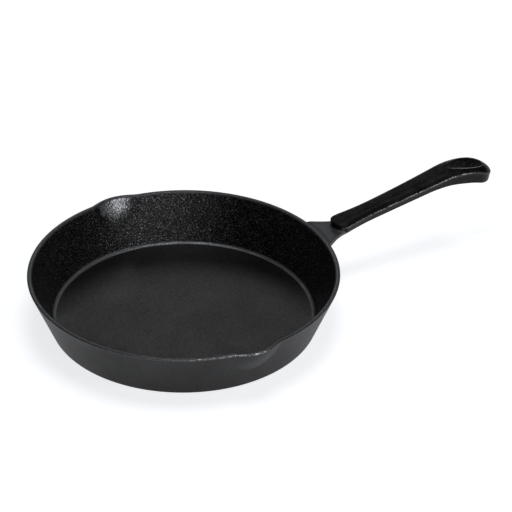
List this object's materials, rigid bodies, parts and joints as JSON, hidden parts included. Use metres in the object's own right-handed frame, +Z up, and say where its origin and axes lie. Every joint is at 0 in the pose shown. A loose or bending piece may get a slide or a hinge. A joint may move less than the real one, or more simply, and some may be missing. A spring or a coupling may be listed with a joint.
{
  "type": "skillet",
  "caption": "Round cast iron skillet with sloping wall, opposed pour lips, a flared bracket and a rising grip that ends in a drop-shaped hanging eye.",
  "frame": {"origin": "centre of the flat underside of the bowl, on the surface that the skillet stands on", "axes": "+X from the bowl's axis along the handle to its tip, +Z up out of the bowl, +Y towards one pour lip"},
  "size_m": [0.4259, 0.2694, 0.0751],
  "materials": {
    "pan_body": "seasoned black, pebbled inside, smoother and greyer outside, satin",
    "handle_bracket": "smooth satin grey-black",
    "handle_grip": "seasoned black, fine cast texture, dressed bright along the parting line"
  },
  "bodies": {
    "root": {"pan_body": "pan_body", "handle_bracket": "handle_bracket", "handle_grip": "handle_grip"}
  },
  "joints": []
}
